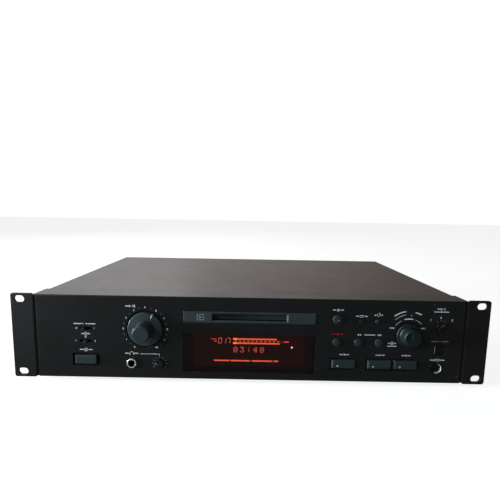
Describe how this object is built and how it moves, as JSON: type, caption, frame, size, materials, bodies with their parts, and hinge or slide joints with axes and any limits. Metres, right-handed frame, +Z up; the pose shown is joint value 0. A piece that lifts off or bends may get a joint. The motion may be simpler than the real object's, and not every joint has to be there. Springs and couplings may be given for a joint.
{
  "type": "minidisc deck",
  "caption": "Rack-mount minidisc deck with slot loading, tinted display window, level and jog knobs, transport keys and an internal loading mechanism.",
  "frame": {"origin": "middle of the deck's outer box, on the surface its feet stand on", "axes": "+X to the right across the rack ears, +Y from the front to the rear panel, +Z up; the front looks along -Y"},
  "size_m": [0.4826, 0.2854, 0.094],
  "materials": {
    "fascia_plastic": "fine textured near-black moulding",
    "ear_steel": "satin black powder coat",
    "cover_steel": "fine textured warm dark grey paint",
    "chassis_steel": "bare zinc-plated sheet",
    "rear_steel": "fine textured black paint",
    "screw_black": "black oxide",
    "foot_rubber": "moulded dark plastic",
    "bezel_plastic": "slate grey satin moulding",
    "window_acrylic": "tinted clear acrylic",
    "tube_glass": "display tube with lit figures",
    "board_green": "solder-masked circuit board",
    "board_brown": "paper-based circuit board",
    "component_black": "moulded component body",
    "key_plastic": "satin grey key cap",
    "bar_plastic": "satin grey key cap",
    "knob_plastic": "satin dark grey knob",
    "small_knob_plastic": "satin black knob",
    "lever_plastic": "light grey lever",
    "nut_chrome": "polished nickel",
    "jack_plastic": "moulded jack body",
    "shaft_steel": "turned steel",
    "phono_metal": "gilt barrels in a dark body",
    "xlr_metal": "satin nickel shells",
    "transformer_core": "laminated core with a taped winding",
    "sink_aluminium": "extruded aluminium",
    "mech_steel": "plated pressed steel",
    "sled_plastic": "moulded sled with a small lens",
    "gear_plastic": "natural acetal",
    "screw_brass": "turned lead screw"
  },
  "bodies": {
    "deck": {"chassis_pan": "chassis_steel", "top_cover": "cover_steel", "rear_panel": "rear_steel", "fascia": "fascia_plastic", "rack_ear_left": "ear_steel", "rack_ear_right": "ear_steel", "case_screws": "screw_black", "feet": "foot_rubber", "slot_bezel": "bezel_plastic", "display_window": "window_acrylic", "display_tube": "tube_glass", "front_boards": "board_green", "key_switches": "component_black", "power_switch": "component_black", "slide_switches": "shaft_steel", "level_pot": "component_black", "small_controls": "component_black", "phones_jack": "jack_plastic", "phones_nut": "nut_chrome", "jog_encoder": "component_black", "keyboard_jack": "jack_plastic", "optical_jacks": "jack_plastic", "main_board": "board_green", "power_board": "board_brown", "transformer": "transformer_core", "heat_sink": "sink_aluminium", "mains_inlet": "jack_plastic", "phono_jacks": "phono_metal", "xlr_inputs": "xlr_metal", "xlr_outputs": "xlr_metal", "mech_frame": "mech_steel", "spindle_motor": "shaft_steel", "guide_rods": "shaft_steel", "drive_motors": "shaft_steel"},
    "power_button": {"power_button": "bar_plastic"},
    "eject_button": {"eject_button": "key_plastic"},
    "record_button": {"record_button": "key_plastic"},
    "display_button": {"display_button": "key_plastic"},
    "play_mode_button": {"play_mode_button": "key_plastic"},
    "search_back_button": {"search_back_button": "key_plastic"},
    "search_forward_button": {"search_forward_button": "key_plastic"},
    "stop_button": {"stop_button": "bar_plastic"},
    "play_button": {"play_button": "bar_plastic"},
    "ready_button": {"ready_button": "bar_plastic"},
    "pitch_lever": {"pitch_lever": "lever_plastic"},
    "timer_lever": {"timer_lever": "lever_plastic"},
    "outer_level_knob": {"outer_level_knob": "knob_plastic"},
    "inner_level_knob": {"inner_level_knob": "knob_plastic"},
    "phones_knob": {"phones_knob": "small_knob_plastic"},
    "selector_knob": {"selector_knob": "small_knob_plastic"},
    "jog_shaft": {"jog_shaft": "shaft_steel"},
    "jog_knob": {"jog_knob": "knob_plastic"},
    "slot_flap": {"slot_flap": "bezel_plastic"},
    "cam_slide": {"cam_slide": "gear_plastic"},
    "disc_holder": {"disc_holder": "mech_steel"},
    "loading_gear": {"loading_gear": "gear_plastic"},
    "turntable": {"turntable": "mech_steel"},
    "pickup_sled": {"pickup_sled": "sled_plastic"},
    "lead_screw": {"lead_screw": "screw_brass"},
    "head_arm": {"head_arm": "mech_steel"}
  },
  "joints": [
    {"name": "power_push", "type": "slide", "parent": "deck", "child": "power_button", "axis": [0, 1, 0], "range_m": [0, 0.003], "stiffness_N_per_m": 400, "springref_m": -0.002},
    {"name": "eject_push", "type": "slide", "parent": "deck", "child": "eject_button", "axis": [0, 1, 0], "range_m": [0, 0.0008], "stiffness_N_per_m": 600, "springref_m": -0.001},
    {"name": "record_push", "type": "slide", "parent": "deck", "child": "record_button", "axis": [0, 1, 0], "range_m": [0, 0.0008], "stiffness_N_per_m": 600, "springref_m": -0.001},
    {"name": "display_push", "type": "slide", "parent": "deck", "child": "display_button", "axis": [0, 1, 0], "range_m": [0, 0.0008], "stiffness_N_per_m": 600, "springref_m": -0.001},
    {"name": "play_mode_push", "type": "slide", "parent": "deck", "child": "play_mode_button", "axis": [0, 1, 0], "range_m": [0, 0.0008], "stiffness_N_per_m": 600, "springref_m": -0.001},
    {"name": "search_back_push", "type": "slide", "parent": "deck", "child": "search_back_button", "axis": [0, 1, 0], "range_m": [0, 0.0008], "stiffness_N_per_m": 600, "springref_m": -0.001},
    {"name": "search_forward_push", "type": "slide", "parent": "deck", "child": "search_forward_button", "axis": [0, 1, 0], "range_m": [0, 0.0008], "stiffness_N_per_m": 600, "springref_m": -0.001},
    {"name": "stop_push", "type": "slide", "parent": "deck", "child": "stop_button", "axis": [0, 1, 0], "range_m": [0, 0.0008], "stiffness_N_per_m": 600, "springref_m": -0.001},
    {"name": "play_push", "type": "slide", "parent": "deck", "child": "play_button", "axis": [0, 1, 0], "range_m": [0, 0.0008], "stiffness_N_per_m": 600, "springref_m": -0.001},
    {"name": "ready_push", "type": "slide", "parent": "deck", "child": "ready_button", "axis": [0, 1, 0], "range_m": [0, 0.0008], "stiffness_N_per_m": 600, "springref_m": -0.001},
    {"name": "pitch_slide", "type": "slide", "parent": "deck", "child": "pitch_lever", "axis": [1, 0, 0], "range_m": [0, 0.0038]},
    {"name": "timer_slide", "type": "slide", "parent": "deck", "child": "timer_lever", "axis": [1, 0, 0], "range_m": [-0.0038, 0.0038]},
    {"name": "outer_level_turn", "type": "hinge", "parent": "deck", "child": "outer_level_knob", "pos_m": [-0.1063, -0.12575, 0.059], "axis": [0, 1, 0], "range_deg": [-177, 123]},
    {"name": "inner_level_turn", "type": "hinge", "parent": "deck", "child": "inner_level_knob", "pos_m": [-0.1063, -0.12575, 0.059], "axis": [0, 1, 0], "range_deg": [-102, 198]},
    {"name": "phones_level_turn", "type": "hinge", "parent": "deck", "child": "phones_knob", "pos_m": [-0.0923, -0.12575, 0.0225], "axis": [0, 1, 0], "range_deg": [-60, 240]},
    {"name": "selector_turn", "type": "hinge", "parent": "deck", "child": "selector_knob", "pos_m": [0.1923, -0.12575, 0.0656], "axis": [0, 1, 0], "range_deg": [-60, 0]},
    {"name": "jog_push", "type": "slide", "parent": "deck", "child": "jog_shaft", "axis": [0, 1, 0], "range_m": [0, 0.0008], "stiffness_N_per_m": 800, "springref_m": -0.001},
    {"name": "jog_turn", "type": "hinge", "parent": "jog_shaft", "child": "jog_knob", "pos_m": [0.1606, -0.12575, 0.0572], "axis": [0, 1, 0], "continuous": true},
    {"name": "flap_swing", "type": "hinge", "parent": "deck", "child": "slot_flap", "pos_m": [-0.0007, -0.11975, 0.0767], "axis": [1, 0, 0], "range_deg": [0, 85], "stiffness_Nm_per_rad": 0.002, "springref_deg": -17.19},
    {"name": "cam_travel", "type": "slide", "parent": "deck", "child": "cam_slide", "axis": [0, 1, 0], "range_m": [0, 0.012]},
    {"name": "holder_drop", "type": "slide", "parent": "deck", "child": "disc_holder", "axis": [0, 0, -1], "range_m": [0, 0.004]},
    {"name": "loading_gear_turn", "type": "hinge", "parent": "deck", "child": "loading_gear", "pos_m": [-0.04775, -0.04575, 0.0461], "axis": [1, 0, 0], "range_deg": [-86, 0]},
    {"name": "disc_spin", "type": "hinge", "parent": "deck", "child": "turntable", "pos_m": [-0.0007, -0.05775, 0.0575], "axis": [0, 0, 1], "continuous": true},
    {"name": "sled_travel", "type": "slide", "parent": "deck", "child": "pickup_sled", "axis": [0, 1, 0], "range_m": [0, 0.017]},
    {"name": "lead_screw_turn", "type": "hinge", "parent": "deck", "child": "lead_screw", "pos_m": [0.0283, -0.02575, 0.0585], "axis": [0, 1, 0], "range_deg": [0, 1531]},
    {"name": "head_arm_drop", "type": "hinge", "parent": "pickup_sled", "child": "head_arm", "pos_m": [-0.0007, -0.01525, 0.07925], "axis": [1, 0, 0], "range_deg": [0, 12]}
  ],
  "couplings": [
    {"joint": "holder_drop", "follows": "cam_travel", "ratio": 0.33333},
    {"joint": "loading_gear_turn", "follows": "cam_travel", "rad_per_m": -125},
    {"joint": "head_arm_drop", "follows": "cam_travel", "rad_per_m": 17.45},
    {"joint": "lead_screw_turn", "follows": "sled_travel", "rad_per_m": 1570.8}
  ]
}
